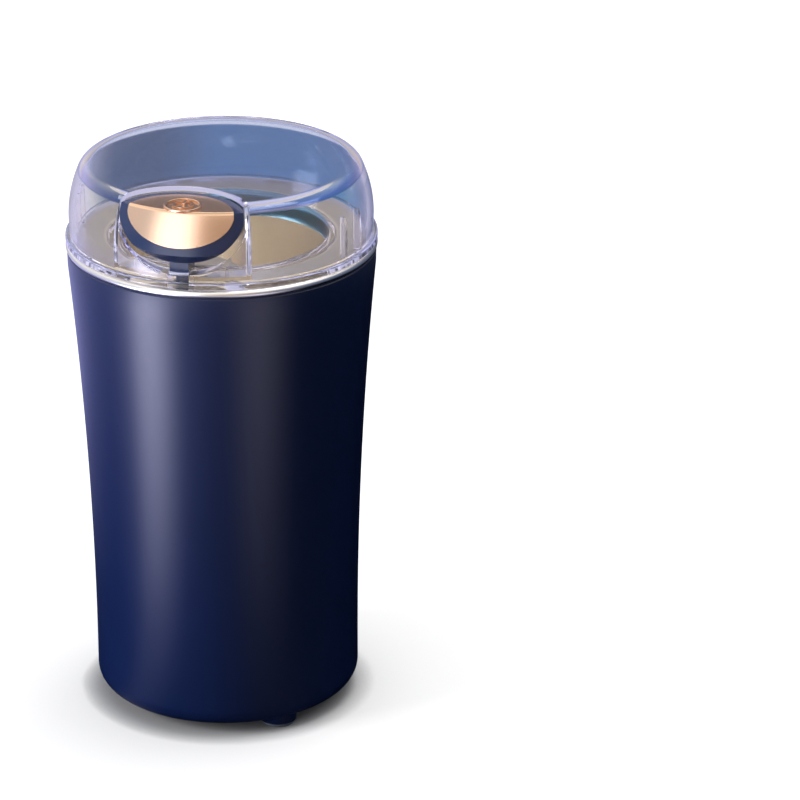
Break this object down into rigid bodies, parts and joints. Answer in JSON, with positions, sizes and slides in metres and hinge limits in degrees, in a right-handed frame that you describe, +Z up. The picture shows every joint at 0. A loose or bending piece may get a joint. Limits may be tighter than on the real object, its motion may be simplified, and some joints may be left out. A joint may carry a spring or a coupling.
{
  "type": "electric spice grinder",
  "caption": "Upright electric spice grinder: flared navy body, steel bowl with spinning blade, and a clear lid whose button is pressed down to switch the motor on.",
  "frame": {"origin": "centre of the bounding box's bottom face, on the table under the middle of the grinder", "axes": "+Z up along the motor's axis, the button faces -Y, +X is to the right seen from the front"},
  "size_m": [0.1, 0.1, 0.184],
  "materials": {
    "navy_plastic": "satin navy",
    "navy_trim": "satin navy",
    "rose_gold": "brushed rose gold",
    "clear_plastic": "clear, faintly blue",
    "steel": "polished",
    "screw_steel": "zinc plated",
    "foot_rubber": "translucent silicone",
    "black_rubber": "matte",
    "dark_plastic": "matte",
    "core_steel": "laminated",
    "copper": "enamelled copper",
    "bronze": "sintered bronze",
    "carbon": "graphite"
  },
  "bodies": {
    "housing": {"housing": "navy_plastic", "base_cover": "navy_plastic", "cover_screw_1": "screw_steel", "cover_screw_2": "screw_steel", "cover_screw_3": "screw_steel", "foot_1": "foot_rubber", "foot_2": "foot_rubber", "foot_3": "foot_rubber", "cord_gland": "black_rubber", "bowl": "steel", "bowl_carrier": "dark_plastic", "carrier_screw_1": "screw_steel", "carrier_screw_2": "screw_steel", "carrier_screw_3": "screw_steel", "bearing_sleeve": "bronze", "sleeve_washer": "steel", "sleeve_nut": "steel", "shaft_seal": "black_rubber", "stator_core": "core_steel", "field_coil_right": "copper", "field_coil_left": "copper", "lower_bracket": "core_steel", "upper_bracket": "core_steel", "lower_bearing": "screw_steel", "upper_bearing": "screw_steel", "motor_screw_front": "screw_steel", "motor_screw_back": "screw_steel", "brush_holder_right": "bronze", "brush_holder_left": "bronze", "carbon_brush_right": "carbon", "carbon_brush_left": "carbon", "brush_spring_right": "screw_steel", "brush_spring_left": "screw_steel", "micro_switch": "dark_plastic", "switch_screw_left": "screw_steel", "switch_screw_right": "screw_steel", "rod_spring": "screw_steel"},
    "rotor": {"motor_shaft": "screw_steel", "armature_core": "core_steel", "winding_lower": "copper", "winding_upper": "copper", "commutator": "copper", "cooling_fan": "dark_plastic", "blade": "steel", "blade_hub": "steel", "blade_nut": "steel"},
    "lid": {"lid_shell": "clear_plastic", "button_spring": "screw_steel"},
    "button": {"button_frame": "navy_trim", "button_cap": "rose_gold"},
    "push_rod": {"push_rod": "dark_plastic"},
    "switch_plunger": {"switch_plunger": "dark_plastic"}
  },
  "joints": [
    {"name": "rotor_spin", "type": "hinge", "parent": "housing", "child": "rotor", "pos_m": [0, 0, 0.1], "axis": [0, 0, 1], "continuous": true},
    {"name": "lid_lift", "type": "slide", "parent": "housing", "child": "lid", "axis": [0, 0, 1], "range_m": [0, 0.06]},
    {"name": "button_press", "type": "slide", "parent": "lid", "child": "button", "axis": [0, 0, 1], "range_m": [-0.003, 0], "stiffness_N_per_m": 500, "springref_m": 0.001, "deforming": ["button_spring"]},
    {"name": "rod_press", "type": "slide", "parent": "housing", "child": "push_rod", "axis": [0, 0, 1], "range_m": [-0.003, 0], "stiffness_N_per_m": 200, "springref_m": 0.001, "deforming": ["rod_spring"]},
    {"name": "plunger_press", "type": "slide", "parent": "housing", "child": "switch_plunger", "axis": [0, 0, 1], "range_m": [-0.00195, 0]}
  ],
  "couplings": [
    {"joint": "rod_press", "follows": "button_press", "ratio": 1},
    {"joint": "plunger_press", "follows": "button_press", "ratio": 0.65}
  ]
}
